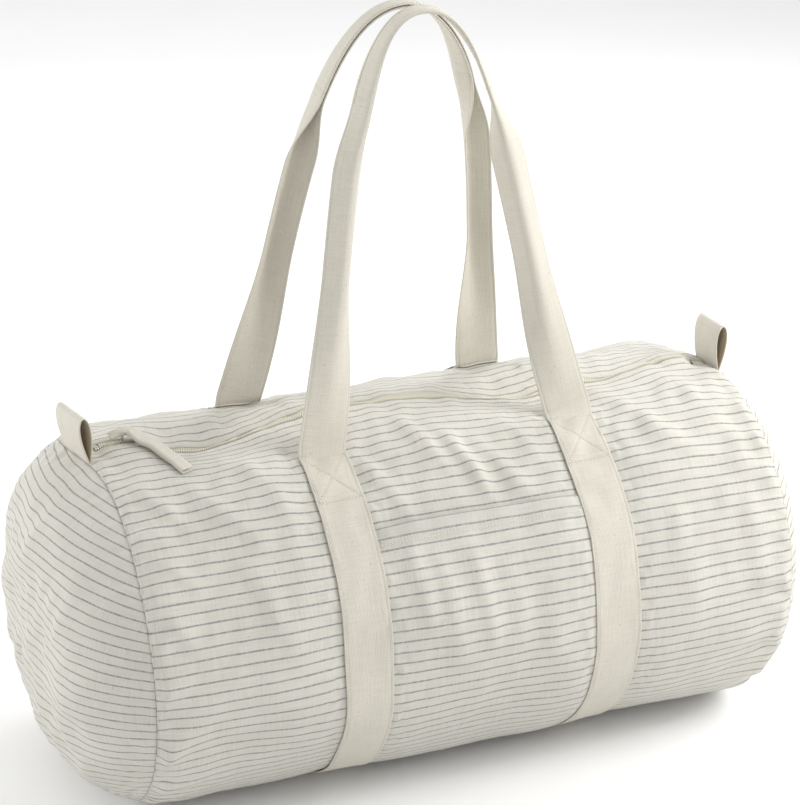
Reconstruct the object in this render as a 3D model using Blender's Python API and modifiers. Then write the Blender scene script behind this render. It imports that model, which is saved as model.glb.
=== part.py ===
"""A soft cotton barrel bag: striped tube body, two domed ends, a zip along the top, a
patch pocket on the front, and one strap that rings the body twice and rises as two
long handles.

Metres, +Z up. The bag's length runs along X and its front faces -Y. The origin is the
point on the ground under the middle of the bag.
"""

import math

import bmesh
import bpy
from mathutils import Matrix, Vector

# Driving dimensions of the body
BODY_LENGTH = 0.520
BODY_HALF_WIDTH = 0.160
BODY_HALF_RISE = 0.146
BODY_TOP = 0.282
CANVAS = 0.0020
GAP = 0.0003

# Straps and handles
STRAP_WIDTH = 0.038
STRAP_THICKNESS = 0.0020
STRAP_SPACING = 0.204
HANDLE_START_ANGLE = 20.0
BAND_START_ANGLE = 21.2
HINGE_HEIGHT = 0.0036
HANDLE_TOP = 0.594
GRIP_WIDTH = 0.019
GRIP_THICKNESS = 0.0042
GRIP_GAP = 0.0040
LEG_LEAN = 0.27
LEG_CLOSING = 0.42
LEG_RISE = 0.40
SHOULDER_X = 0.50
FOLDED_BY = 0.62
HANDLE_STATIONS = 40

# Pocket
POCKET_CANVAS = 0.0017
POCKET_MOUTH_ANGLE = 48.0
POCKET_END_ANGLE = 152.0
POCKET_CLOSED_ANGLE = 92.0
POCKET_GAPE = 0.0085

# Zip
ZIP_LENGTH = 0.496
SLOT_HALF_WIDTH = 0.0045
TAPE_WIDTH = 0.0125
TAPE_THICKNESS = 0.0008
COIL_WIDTH = 0.0024
COIL_HEIGHT = 0.0018
ZIP_SPLIT = 0.0006
COIL_INSET = 0.0040
STOP_WIDTH = 0.0060
STOP_LENGTH = 0.0030
SLIDER_X = -0.232
SLIDER_LENGTH = 0.0100
SLIDER_ROOF = 0.0012
SLIDER_FLOOR = 0.0010

# Puller
PULLER_LENGTH = 0.060
PULLER_WIDTH = 0.0080
PULLER_THICKNESS = 0.0022
PULLER_HEADING = -54.0
PULLER_PITCH = 9.5
BRIDGE_HEIGHT = 0.0038
BRIDGE_WIRE = 0.0007
BRIDGE_SHOULDER = 0.0012
EYE_RADIUS = 0.0025
EYE_WIRE = 0.0006
NECK_WIDTH = 0.0020
NECK_FLARE = 0.0015

# Ends
END_DOME = 0.045
END_FULLNESS = 5
END_RINGS = 6
BINDING_WIDTH = 0.0090
LOOP_HEIGHT = 0.033
LOOP_BULGE = 0.0065
LOOP_LAYER = 0.0016
LOOP_HOLE_BASE = 0.0070
LOOP_FULLNESS = 1.15
LOOP_STEPS = 12
ROOT_STEPS = 5

# Facets
OUTLINE_STEP = 5.0

BODY_CENTRE_Z = BODY_TOP - BODY_HALF_RISE
BASE_Z = STRAP_THICKNESS + GAP
SEAM_X = BODY_LENGTH / 2
STRAP_X = STRAP_SPACING / 2

COTTON = (0.80, 0.77, 0.68)
CREAM = (0.82, 0.78, 0.67)
THREAD = (0.78, 0.74, 0.62)
METAL = (0.72, 0.70, 0.66)


def clear_scene():
    for obj in list(bpy.data.objects):
        bpy.data.objects.remove(obj, do_unlink=True)


def new_collection(name):
    collection = bpy.data.collections.new(name)
    bpy.context.scene.collection.children.link(collection)
    return collection


def new_material(name, colour, roughness, metallic=0.0):
    material = bpy.data.materials.new(name)
    material.use_nodes = True
    shader = material.node_tree.nodes["Principled BSDF"]
    shader.inputs["Base Color"].default_value = (*colour, 1.0)
    shader.inputs["Roughness"].default_value = roughness
    shader.inputs["Metallic"].default_value = metallic
    return material


def add_object(name, data, colour, roughness=0.9, metallic=0.0):
    obj = bpy.data.objects.new(name, data)
    BAG.objects.link(obj)
    data.materials.append(new_material(name, colour, roughness, metallic))
    return obj


def section_point(angle, outward):
    """(y, z) of the body's cross-section, moved outward along its normal.

    The angle is in degrees from the top, turning towards the front. The section is an
    ellipse that is flat where it rests.
    """
    turn = math.radians(angle)
    y = -BODY_HALF_WIDTH * math.sin(turn)
    z = BODY_CENTRE_Z + BODY_HALF_RISE * math.cos(turn)
    normal = Vector((-math.sin(turn) / BODY_HALF_WIDTH, math.cos(turn) / BODY_HALF_RISE))
    normal.normalize()
    y += normal.x * outward
    z += normal.y * outward
    return y, max(z, BASE_Z - outward)


def angles_between(start, end):
    """Both ends and every whole step between them."""
    first = math.floor(start / OUTLINE_STEP) + 1
    last = math.ceil(end / OUTLINE_STEP) - 1
    return [start] + [step * OUTLINE_STEP for step in range(first, last + 1)] + [end]


def wrap(start, end, inner, outer):
    """Closed (y, z) outline of a sheet laid round the section, between two offsets."""
    angles = angles_between(start, end)
    outside = [section_point(angle, outer) for angle in angles]
    inside = [section_point(angle, inner) for angle in reversed(angles)]
    return outside + inside


def ring_outline(outward):
    count = round(360 / OUTLINE_STEP)
    return [section_point(step * OUTLINE_STEP, outward) for step in range(count)]


def extruded(name, outlines, centre, depth, colour, along="X", **finish):
    """A flat outline, with a hole for each further outline, extruded along X or Y."""
    curve = bpy.data.curves.new(name, "CURVE")
    curve.dimensions = "2D"
    curve.fill_mode = "BOTH"
    curve.extrude = depth / 2
    for outline in outlines:
        spline = curve.splines.new("POLY")
        spline.points.add(len(outline) - 1)
        for point, (across, up) in zip(spline.points, outline):
            point.co = (across, up, 0.0, 1.0)
        spline.use_cyclic_u = True
    obj = add_object(name, curve, colour, **finish)
    upright = Matrix.Rotation(math.radians(90), 4, "X")
    if along == "X":
        upright = Matrix.Rotation(math.radians(90), 4, "Z") @ upright
    obj.matrix_world = Matrix.Translation(centre) @ upright
    return obj


def add_body():
    slot = math.degrees(math.asin(SLOT_HALF_WIDTH / BODY_HALF_WIDTH))
    outline = wrap(slot, 360 - slot, -CANVAS, 0.0)
    extruded("barrel_panel", [outline], (0, 0, 0), BODY_LENGTH, COTTON)


def end_reach(ring):
    """How far out a ring of the end panel lies: 1 at the seam, 0 in the middle."""
    return math.sqrt(1 - ring / END_RINGS)


def add_end_panel(name, side):
    """A domed disc, grown inwards ring by ring from the body's outline."""
    mesh = bpy.data.meshes.new(name)
    shape = bmesh.new()
    outline = ring_outline(0.0)
    corners = [shape.verts.new((0.0, y, z)) for y, z in outline]
    edges = [shape.edges.new((corners[i - 1], corners[i])) for i in range(len(corners))]
    middle = Vector((0.0, 0.0, BODY_CENTRE_Z))
    for ring in range(1, END_RINGS):
        grown = bmesh.ops.extrude_edge_only(shape, edges=edges)["geom"]
        edges = [item for item in grown if isinstance(item, bmesh.types.BMEdge)]
        points = [item for item in grown if isinstance(item, bmesh.types.BMVert)]
        edges = [edge for edge in edges if all(vert in points for vert in edge.verts)]
        for vert in points:
            vert.co = middle + (vert.co - middle) * (end_reach(ring) / end_reach(ring - 1))
            vert.co.x = side * END_DOME * (1 - end_reach(ring) ** END_FULLNESS)
    bmesh.ops.contextual_create(shape, geom=edges)
    bmesh.ops.recalc_face_normals(shape, faces=shape.faces)
    shape.normal_update()
    if sum(face.normal.x for face in shape.faces) * side < 0:
        bmesh.ops.reverse_faces(shape, faces=shape.faces)
    shape.to_mesh(mesh)
    shape.free()
    obj = add_object(name, mesh, COTTON)
    obj.location.x = side * (SEAM_X + GAP + CANVAS)
    shell = obj.modifiers.new("canvas", "SOLIDIFY")
    shell.thickness = CANVAS
    shell.offset = -1.0


def add_seam_binding(name, side):
    """The folded tape that covers the end seam's raw edges, inside the bag."""
    outer = ring_outline(-CANVAS - GAP)
    inner = ring_outline(-CANVAS - GAP - CANVAS)
    centre = (side * (SEAM_X - GAP - BINDING_WIDTH / 2), 0, 0)
    extruded(name, [outer, inner], centre, BINDING_WIDTH, CREAM)


def pocket_gape(angle):
    """Extra room between the pocket and the body: widest at the mouth."""
    span = POCKET_CLOSED_ANGLE - POCKET_MOUTH_ANGLE
    closing = max(0.0, (POCKET_CLOSED_ANGLE - angle) / span)
    return POCKET_GAPE * closing**2


def add_pocket():
    angles = angles_between(POCKET_MOUTH_ANGLE, POCKET_END_ANGLE)
    outside = [section_point(a, GAP + POCKET_CANVAS + pocket_gape(a)) for a in angles]
    inside = [section_point(a, GAP + pocket_gape(a)) for a in reversed(angles)]
    width = STRAP_SPACING - STRAP_WIDTH - 4 * GAP
    extruded("front_pocket", [outside + inside], (0, 0, 0), width, COTTON)


def add_band(name, side):
    """The strap's run round the body, from the front handle's root to the back one's."""
    outline = wrap(BAND_START_ANGLE, 360 - BAND_START_ANGLE, GAP, GAP + STRAP_THICKNESS)
    extruded(name, [outline], (side * STRAP_X, 0, 0), STRAP_WIDTH, CREAM)


def hinge_line(side):
    """(y, z) of the line that a handle swings about. The front is side -1."""
    y, z = section_point(HANDLE_START_ANGLE, HINGE_HEIGHT)
    return -side * y, z


def bezier(points, t):
    a, b, c, d = points
    s = 1 - t
    return a * s**3 + b * (3 * s * s * t) + c * (3 * s * t * t) + d * t**3


def handle_station(side, t):
    """(centre, width direction, width, thickness) at t, from -1 (left root) to 1."""
    y_root, z_root = hinge_line(side)
    y_top = side * (GRIP_GAP + GRIP_WIDTH) / 2
    legs = -1 if t < 0 else 1
    up = 1 - abs(t)
    rise = HANDLE_TOP - z_root
    route = [
        Vector((STRAP_X, y_root, z_root)),
        Vector((STRAP_X * (1 - LEG_LEAN), y_root + LEG_CLOSING * (y_top - y_root), z_root + LEG_RISE * rise)),
        Vector((STRAP_X * SHOULDER_X, y_top, HANDLE_TOP)),
        Vector((0.0, y_top, HANDLE_TOP)),
    ]
    centre = bezier(route, up)
    centre.x *= legs
    folding = min(1.0, up / FOLDED_BY)
    folding = folding * folding * (3 - 2 * folding)
    turn = folding * math.radians(90)
    across = Vector((math.cos(turn), -legs * side * math.sin(turn), 0.0))
    width = STRAP_WIDTH + (GRIP_WIDTH - STRAP_WIDTH) * folding
    thickness = STRAP_THICKNESS + (GRIP_THICKNESS - STRAP_THICKNESS) * folding
    return centre, across, width, thickness


def add_handle(name, side):
    """A ribbon that rises flat, folds in half and turns on edge into the grip."""
    places = [-1 + 2 * i / HANDLE_STATIONS for i in range(HANDLE_STATIONS + 1)]
    shape = bmesh.new()
    rings = []
    for i, place in enumerate(places):
        centre, across, width, thickness = handle_station(side, place)
        before = handle_station(side, places[max(i - 1, 0)])[0]
        after = handle_station(side, places[min(i + 1, HANDLE_STATIONS)])[0]
        along = (after - before).normalized()
        out = along.cross(across).normalized()
        corners = ((-1, -1), (1, -1), (1, 1), (-1, 1))
        ring = [
            shape.verts.new(centre + across * (u * width / 2) + out * (v * thickness / 2))
            for u, v in corners
        ]
        rings.append(ring)
    for first, second in zip(rings, rings[1:]):
        for i in range(4):
            shape.faces.new((first[i - 1], first[i], second[i], second[i - 1]))
    shape.faces.new(rings[0])
    shape.faces.new(rings[-1])
    bmesh.ops.recalc_face_normals(shape, faces=shape.faces)
    y_root, z_root = hinge_line(side)
    bmesh.ops.translate(shape, vec=(0, -y_root, -z_root), verts=shape.verts)
    mesh = bpy.data.meshes.new(name)
    shape.to_mesh(mesh)
    shape.free()
    mesh.shade_smooth()
    mesh.set_sharp_from_angle(angle=math.radians(40))
    obj = add_object(name, mesh, CREAM)
    obj.location = (0, y_root, z_root)


def add_zip_side(name, side):
    """One tape under the slot's edge, and the coil that stands on its inner edge."""
    edges = [ZIP_SPLIT, ZIP_SPLIT + TAPE_WIDTH]
    turns = sorted(-side * math.degrees(math.asin(edge / BODY_HALF_WIDTH)) for edge in edges)
    under = CANVAS + GAP
    tape = wrap(*turns, -under - TAPE_THICKNESS, -under)
    extruded(name + "_zip_tape", [tape], (0, 0, 0), ZIP_LENGTH, CREAM)
    near = side * ZIP_SPLIT
    coil_base = BODY_TOP - CANVAS
    coil = section_strip(near, near + side * COIL_WIDTH, coil_base, coil_base + COIL_HEIGHT)
    coil_length = ZIP_LENGTH - 2 * COIL_INSET
    extruded(name + "_zip_coil", [coil], (0, 0, 0), coil_length, THREAD, roughness=0.5)


def section_strip(near, far, low, high):
    return [(near, low), (far, low), (far, high), (near, high)]


def add_zip_stop(name, side):
    """The metal clamp that closes the coil's end."""
    low = BODY_TOP - CANVAS
    outline = section_strip(-STOP_WIDTH / 2, STOP_WIDTH / 2, low, low + COIL_HEIGHT + GAP)
    x = side * (ZIP_LENGTH / 2 - COIL_INSET / 2)
    extruded(name, [outline], (x, 0, 0), STOP_LENGTH, METAL, roughness=0.4, metallic=0.8)


def slider_outline():
    """The slider's section: a top plate, its two flanges, the post and a bottom plate."""
    tape_top = BODY_TOP - CANVAS - GAP
    coil_top = tape_top + GAP + COIL_HEIGHT
    roof = coil_top + 2 * GAP
    top = roof + SLIDER_ROOF
    floor = tape_top - TAPE_THICKNESS - GAP
    flange_in = ZIP_SPLIT + COIL_WIDTH + GAP
    flange_out = SLOT_HALF_WIDTH - GAP
    post = ZIP_SPLIT - GAP
    half = [
        (flange_out, top),
        (flange_out, tape_top + GAP),
        (flange_in, tape_top + GAP),
        (flange_in, roof),
        (post, roof),
        (post, floor),
        (flange_out, floor),
        (flange_out, floor - SLIDER_FLOOR),
    ]
    return half + [(-y, z) for y, z in reversed(half)]


def slider_top():
    return max(z for y, z in slider_outline())


def add_slider():
    centre = (SLIDER_X, 0, 0)
    extruded("zip_slider", [slider_outline()], centre, SLIDER_LENGTH, METAL, roughness=0.4, metallic=0.8)


def add_slider_bridge():
    """The wire arch over the slider that the puller's eye hangs in."""
    curve = bpy.data.curves.new("slider_bridge", "CURVE")
    curve.dimensions = "3D"
    curve.bevel_depth = BRIDGE_WIRE
    curve.bevel_resolution = 2
    curve.use_fill_caps = True
    foot = slider_top() + GAP
    crown = slider_top() + BRIDGE_HEIGHT
    reach = SLIDER_LENGTH / 2 - BRIDGE_WIRE
    route = [
        (-reach, foot),
        (-reach, crown - BRIDGE_SHOULDER),
        (-reach + BRIDGE_SHOULDER, crown),
        (reach - BRIDGE_SHOULDER, crown),
        (reach, crown - BRIDGE_SHOULDER),
        (reach, foot),
    ]
    spline = curve.splines.new("POLY")
    spline.points.add(len(route) - 1)
    for point, (x, z) in zip(spline.points, route):
        point.co = (x, 0.0, z, 1.0)
    obj = add_object("slider_bridge", curve, METAL, roughness=0.4, metallic=0.8)
    obj.location.x = SLIDER_X


def add_puller():
    """A doubled fabric tape with an eye at its root, lying towards the front."""
    pivot = Vector((SLIDER_X, 0.0, slider_top() + BRIDGE_HEIGHT))
    frame = (
        Matrix.Translation(pivot)
        @ Matrix.Rotation(math.radians(PULLER_HEADING), 4, "Z")
        @ Matrix.Rotation(math.radians(PULLER_PITCH), 4, "Y")
    )
    bpy.ops.mesh.primitive_torus_add(
        major_radius=EYE_RADIUS, minor_radius=EYE_WIRE, major_segments=20, minor_segments=8
    )
    eye = bpy.context.object
    eye.name = "puller_eye"
    eye.data.transform(Matrix.Rotation(math.radians(90), 4, "X"))
    eye.hide_render = True
    eye.display_type = "WIRE"
    for collection in eye.users_collection:
        collection.objects.unlink(eye)
    HELPERS.objects.link(eye)
    half_outline = [
        (EYE_RADIUS - EYE_WIRE / 2, NECK_WIDTH / 2),
        (2 * EYE_RADIUS, NECK_WIDTH / 2),
        (2 * EYE_RADIUS + NECK_FLARE, PULLER_WIDTH / 2),
        (PULLER_LENGTH, PULLER_WIDTH / 2),
    ]
    outline = half_outline + [(x, -y) for x, y in reversed(half_outline)]
    mesh = bpy.data.meshes.new("zip_puller")
    shape = bmesh.new()
    shape.faces.new([shape.verts.new((x, -y, 0.0)) for x, y in outline])
    shape.to_mesh(mesh)
    shape.free()
    tape = add_object("zip_puller", mesh, COTTON)
    cloth = tape.modifiers.new("cloth", "SOLIDIFY")
    cloth.thickness = PULLER_THICKNESS
    cloth.offset = 0.0
    join = tape.modifiers.new("eye", "BOOLEAN")
    join.operation = "UNION"
    join.object = eye
    tape.matrix_world = frame
    eye.matrix_world = frame


def loop_side(inset):
    """Points (half width, height) up one side: pinched at the root, widest near the top."""
    low = LOOP_HOLE_BASE if inset else 0.0
    top = LOOP_HEIGHT - inset
    points = []
    for i in range(1, LOOP_STEPS):
        height = low + (top - low) * (1 - math.cos(math.pi * i / LOOP_STEPS)) / 2
        share = height / LOOP_HEIGHT
        swell = math.sin(math.pi * share**LOOP_FULLNESS)
        half = (LOOP_LAYER + GAP) * (1 - share) + LOOP_BULGE * swell - inset
        if half > GAP:
            points.append((half, height))
    return points


def add_end_loop(name, side):
    """A folded strap end that stands on the seam as a drop-shaped loop."""
    base = LOOP_LAYER + GAP
    outer = loop_side(0.0)
    inner = loop_side(LOOP_LAYER)
    turns = [math.pi * i / ROOT_STEPS for i in range(ROOT_STEPS + 1)]
    root = [(-base * math.cos(turn), -base * math.sin(turn)) for turn in turns]
    outside = outer + [(0.0, LOOP_HEIGHT)] + mirrored(outer) + root
    hole = [(0.0, LOOP_HOLE_BASE)] + inner + [(0.0, LOOP_HEIGHT - LOOP_LAYER)] + mirrored(inner)
    centre = (side * SEAM_X, 0, BODY_TOP + GAP + base)
    extruded(name, [outside, hole], centre, STRAP_WIDTH, CREAM, along="Y")


def mirrored(points):
    return [(-x, z) for x, z in reversed(points)]


clear_scene()
BAG = new_collection("barrel_bag")
HELPERS = new_collection("helpers")
add_body()
add_pocket()
add_slider()
add_slider_bridge()
add_puller()
for place, way in (("left", -1), ("right", 1)):
    add_end_panel(place + "_end_panel", way)
    add_seam_binding(place + "_seam_binding", way)
    add_band(place + "_band", way)
    add_end_loop(place + "_end_loop", way)
    add_zip_stop(place + "_zip_stop", way)
for place, way in (("front", -1), ("back", 1)):
    add_handle(place + "_handle", way)
    add_zip_side(place, way)
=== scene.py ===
"""Looks of the striped cotton barrel bag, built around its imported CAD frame.

Metres, +Z up, the bag's length along X, its front towards -Y. Every sewn-on piece is
placed in the coordinates of the bag's own skin: x along the bag, and an angle round it
from the top, turning towards the front.
"""

import math

import bmesh
import bpy
import numpy as np
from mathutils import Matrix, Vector


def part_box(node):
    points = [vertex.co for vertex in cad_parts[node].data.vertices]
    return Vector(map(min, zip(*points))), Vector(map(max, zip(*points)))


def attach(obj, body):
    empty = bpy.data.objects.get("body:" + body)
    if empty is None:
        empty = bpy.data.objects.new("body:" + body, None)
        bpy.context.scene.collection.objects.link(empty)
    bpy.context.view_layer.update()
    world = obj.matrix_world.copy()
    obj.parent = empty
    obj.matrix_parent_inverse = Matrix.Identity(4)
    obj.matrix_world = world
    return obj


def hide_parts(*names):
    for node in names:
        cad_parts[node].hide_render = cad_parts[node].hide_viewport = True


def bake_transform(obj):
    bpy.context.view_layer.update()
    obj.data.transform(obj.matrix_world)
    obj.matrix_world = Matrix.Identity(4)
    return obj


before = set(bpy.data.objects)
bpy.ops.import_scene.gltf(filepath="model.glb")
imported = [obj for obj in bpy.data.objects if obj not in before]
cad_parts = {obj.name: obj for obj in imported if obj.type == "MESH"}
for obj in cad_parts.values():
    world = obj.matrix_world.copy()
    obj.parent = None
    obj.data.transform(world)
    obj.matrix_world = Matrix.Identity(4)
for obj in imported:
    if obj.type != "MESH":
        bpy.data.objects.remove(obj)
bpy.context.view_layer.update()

# The body, as the CAD has it
SEAM_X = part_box("barrel_panel")[1].x
HALF_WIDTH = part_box("barrel_panel")[1].y
BODY_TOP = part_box("barrel_panel")[1].z
BASE_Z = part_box("barrel_panel")[0].z
HALF_RISE = 0.146
CENTRE_Z = BODY_TOP - HALF_RISE
FLOOR_SOFTNESS = 0.003

# Fabric
CANVAS = 0.0009
STRIPE_PITCH = 0.00872
STRIPE_START = 0.0040
SLOT_HALF_WIDTH = 0.0042

# Straps: their middle line, their thickness and where the handles leave the body
STRAP_SHIFT = 0.005
BACK_ROOT_SHIFT = -0.030
STRAP_X = (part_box("left_band")[0].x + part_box("left_band")[1].x) / -2
STRAP_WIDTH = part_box("left_band")[1].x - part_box("left_band")[0].x
STRAP_THICKNESS = 0.0015
STRAP_LIFT = 0.00155
STITCH_INSET = 0.0021
BOX_GROOVE = 0.00045
BOX_TOP_ANGLE = math.radians(21.2)
BOX_END_ANGLE = math.radians(37.5)
HINGE_ANGLE = math.radians(20.0)
HINGE_LIFT = 0.0036

# Handles: the back one's legs stand wider and further left than the front one's
HANDLE_TOP = 0.5945
FRONT_TOP_SHIFT = -0.0042
BACK_TOP_SHIFT = -0.0115
BACK_SPREAD = 0.008
GRIP_END_Z = 0.529
GRIP_Y = 0.0115
HALF_FOLDED = 0.58
FOLD_RADIUS = 0.0011
FLAT_FOLD = 0.007
LEG_KNEE_X = 0.66
LEG_KNEE_RISE = 0.42
SHOULDER_X = 0.62

# Pocket
POCKET_MOUTH = math.radians(48.0)
POCKET_END = math.radians(152.0)
POCKET_HEM = 0.0150
POCKET_ROWS = (POCKET_HEM - 0.0015, POCKET_HEM - 0.0045)
POCKET_CANVAS = 0.0004
POCKET_GAPE = 0.0042
POCKET_GAPE_FADE = 0.036
HEM_THICKNESS = 0.0008

# How far the top of the left seam is pulled out, and the top of the right one sags
LEFT_END_PULL = 0.0165
RIGHT_END_SAG = 0.0070

# End loops
LOOP_HEIGHT = 0.0385
LOOP_BULGE = 0.0048
LOOP_LEAN = 0.10

# Puller: the width of its strip before it is folded, and how far it bunches past the bridge
PULLER_CUT = 0.0215
PULLER_CANVAS = 0.0010
PULLER_TAIL = 0.0145

# Ends
LEFT_DOME = 0.060
RIGHT_DOME = 0.031
DOME_FULLNESS = 5.0
END_GATHER = 1.09
TAPE_THICKNESS = 0.0005

# Camera
CAMERA_AZIMUTH = -0.3693
CAMERA_ELEVATION = 0.4134
CAMERA_DISTANCE = 1.970
CAMERA_TARGET = Vector((-0.0119, 0.0, 0.2776))
CAMERA_LENS = 112.95

# Lights: azimuth and elevation in degrees, distance, size, power
LIGHTS = {
    "key": (62, 30, 1.15, 0.5, 6.5),
    "high": (52, 42, 1.45, 0.6, 4),
    "behind": (130, 35, 1.8, 0.8, 12),
    "left": (-118, 14, 2.6, 1.0, 30),
}
LIT_POINT = Vector((0, 0, 0.2))
SKY_STRENGTH = 0.86
FLOOR_REACH = 12.0


def smooth(low, high, value):
    """0 below low and 1 above high, with a soft step between."""
    share = np.clip((np.asarray(value, float) - low) / (high - low), 0.0, 1.0)
    return share * share * (3 - 2 * share)


def bump(value, centre, width):
    return np.exp(-(((value - centre) / width) ** 2))


def unit(vectors):
    return vectors / np.linalg.norm(vectors, axis=1)[:, None]


def distances_along(points):
    """How far each point of a polyline is from its first one, along the line."""
    lengths = np.linalg.norm(np.diff(points, axis=0), axis=1)
    return np.concatenate([[0.0], np.cumsum(lengths)])


HEXAGON = [(math.cos(turn), math.sin(turn)) for turn in np.linspace(0, 2 * math.pi, 7)[:-1]]


# ---- the skin


class Waves:
    """A smooth random relief: many low sine waves in fixed, seeded directions."""

    def __init__(self, seed, count, shortest, longest):
        draw = np.random.default_rng(seed)
        length = draw.uniform(shortest, longest, count)
        heading = draw.uniform(0, math.pi, count)
        self.along = 2 * math.pi * np.cos(heading) / length
        self.round = 2 * math.pi * np.sin(heading) / length
        self.phase = draw.uniform(0, 2 * math.pi, count)
        self.scale = math.sqrt(2.0 / count)

    def at(self, x, s):
        total = 0.0
        for a, b, c in zip(self.along, self.round, self.phase):
            total = total + np.sin(a * x + b * s + c)
        return total * self.scale


SWELLS = Waves(3, 16, 0.070, 0.160)
CREASES = Waves(11, 26, 0.018, 0.045)
PUCKERS = Waves(23, 14, 0.007, 0.013)


def section(angle, lift):
    """(y, z) and outward (y, z) normal of the bag's cross-section, without any relief."""
    ny = -np.sin(angle) / HALF_WIDTH
    nz = np.cos(angle) / HALF_RISE
    size = np.hypot(ny, nz)
    ny, nz = ny / size, nz / size
    y = -HALF_WIDTH * np.sin(angle) + ny * lift
    z = CENTRE_Z + HALF_RISE * np.cos(angle) + nz * lift
    base = BASE_Z - np.clip(lift, -0.02, 0.0023)
    z = base + FLOOR_SOFTNESS * np.logaddexp(0.0, (z - base) / FLOOR_SOFTNESS)
    return y, z, ny, nz


def arc_table():
    angles = np.linspace(0, 2 * math.pi, 1441)
    y, z, _, _ = section(angles, 0.0)
    steps = np.hypot(np.diff(y), np.diff(z))
    return angles, np.concatenate([[0.0], np.cumsum(steps)])


ARC_ANGLES, ARC_LENGTHS = arc_table()
GIRTH = ARC_LENGTHS[-1]


def arc(angle):
    """Distance round the body from the top, for an angle from 0 to a full turn."""
    return np.interp(angle, ARC_ANGLES, ARC_LENGTHS)


def angle_at(distance):
    return np.interp(distance, ARC_LENGTHS, ARC_ANGLES)


# Soft folds that the stuffing leaves, in mm: (x, distance round) of both ends, half width, height
FOLDS = (
    ((-30, 30), (-6, 95), 7.5, 4),
    ((0, 60), (20, 120), 7, 5),
    ((28, 78), (50, 122), 8, 4.5),
    ((52, 50), (70, 100), 7, 2.8),
    ((-70, 70), (-50, 125), 6.5, 2.4),
    ((-56, 150), (-46, 215), 7, 2.2),
    ((-34, 160), (-26, 240), 7.5, 2),
    ((-8, 150), (2, 235), 7, 2.2),
    ((22, 170), (26, 245), 8.5, 1.6),
    ((56, 180), (52, 260), 9, 1.4),
    ((-160, 50), (-135, 120), 8.5, 3),
    ((-205, 70), (-165, 130), 8, 3),
    ((-180, 140), (-150, 220), 10, 2),
    ((-245, 60), (-215, 105), 6.5, 2.6),
    ((-250, 120), (-220, 150), 6, 2.2),
    ((-248, 165), (-225, 200), 6, 1.8),
    ((150, 40), (185, 110), 9.5, 2.8),
    ((205, 30), (235, 120), 9, 2.8),
    ((160, 150), (175, 240), 10, 1.8),
    ((225, 150), (235, 240), 9, 1.8),
)

# Where the zip sags towards the front between the straps: x, half length, drop
ZIP_SAGS = ((-0.176, 0.052, 0.0185), (0.083, 0.045, 0.0190), (0.160, 0.035, 0.0120))
ZIP_RISE = 0.0018

# Where the slider stands with the zip shut and with it open
SLIDER_REST = (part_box("zip_slider")[0].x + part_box("zip_slider")[1].x) / 2
SLIDER_TRAVEL = 0.457


def zip_sag(x):
    sag = sum(drop * bump(x, place, width) for place, width, drop in ZIP_SAGS) - ZIP_RISE
    between = smooth(SLIDER_REST + 0.010, SLIDER_REST + 0.036, x)
    return sag * between * (1 - smooth(0.190, SLIDER_REST + SLIDER_TRAVEL - 0.010, x))


def beside_slider(x, from_top):
    """1 on the zip where the slider comes to rest, fading to 0 round about."""
    places = (SLIDER_REST, SLIDER_REST + SLIDER_TRAVEL)
    near = sum(np.exp(-(((x - place) / 0.013) ** 4)) for place in places)
    return near * bump(from_top, 0.0, 0.022)


def past_top(angle):
    """Signed distance round the body from the top, negative behind it."""
    distance = arc(np.mod(angle, 2 * math.pi))
    return np.where(distance > GIRTH / 2, distance - GIRTH, distance)


def fold_relief(x, s):
    total = 0.0
    for start, end, *size in FOLDS:
        x0, s0, x1, s1, width, height = (number / 1000 for number in (*start, *end, *size))
        dx, ds = x1 - x0, s1 - s0
        length = math.hypot(dx, ds)
        along = ((x - x0) * dx + (s - s0) * ds) / length
        across = ((x - x0) * ds - (s - s0) * dx) / length
        ends = smooth(-0.015, 0.02, along) * (1 - smooth(length - 0.02, length + 0.015, along))
        total = total + height * ends * np.exp(-((across / width) ** 2))
    return total


def relief(x, angle):
    """How far the skin stands out from the plain section."""
    s = arc(angle)
    signed = past_top(angle)
    from_top = np.minimum(s, GIRTH - s)
    to_seam = SEAM_X - np.abs(x)
    upper = 1 - smooth(0.30, 0.42, from_top)
    near_top = 0.3 + 0.7 * (1 - smooth(0.06, 0.26, from_top))
    free = smooth(0.0, 0.018, to_seam)
    # The sags of the zip and of the right end
    out = -0.55 * zip_sag(x) * bump(from_top, 0.0, 0.034)
    out = out - RIGHT_END_SAG * smooth(0.185, SEAM_X, x) * bump(signed, -0.035, 0.090)
    # Swells, folds and creases, weaker on the stretched underside
    out = out + (0.0012 * SWELLS.at(x, s) + fold_relief(x, s)) * free * (0.35 + 0.65 * upper)
    out = out + 0.00052 * CREASES.at(x, s) * free * near_top * (0.3 + 0.7 * upper)
    # The straps press the cloth in, and it puckers beside them
    for side in (-1, 1):
        to_strap = np.abs(x - strap_centre(side, np.mod(angle, 2 * math.pi)))
        out = out - 0.0012 * np.exp(-((to_strap / 0.030) ** 4)) * free
        beside = bump(to_strap, STRAP_WIDTH / 2 + 0.006, 0.008)
        out = out + 0.00035 * CREASES.at(3 * x, 2.4 * s) * beside * upper
    # The seams draw the cloth in, with short gathers and longer creases running from them
    gathers = np.exp(-to_seam / 0.010) * smooth(0.0, 0.004, to_seam)
    out = out + 0.0007 * PUCKERS.at(0.3 * x, s) * gathers
    drawn = np.exp(-to_seam / 0.026) * smooth(0.0, 0.010, to_seam)
    out = out + 0.0019 * CREASES.at(0.4 * x, 1.1 * s + 0.3 * to_seam) * drawn
    out = out - 0.0026 * np.exp(-((to_seam / 0.0045) ** 2))
    out = out - 0.0030 * np.exp(-to_seam / 0.030)
    return out * (1 - beside_slider(x, from_top))


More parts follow.
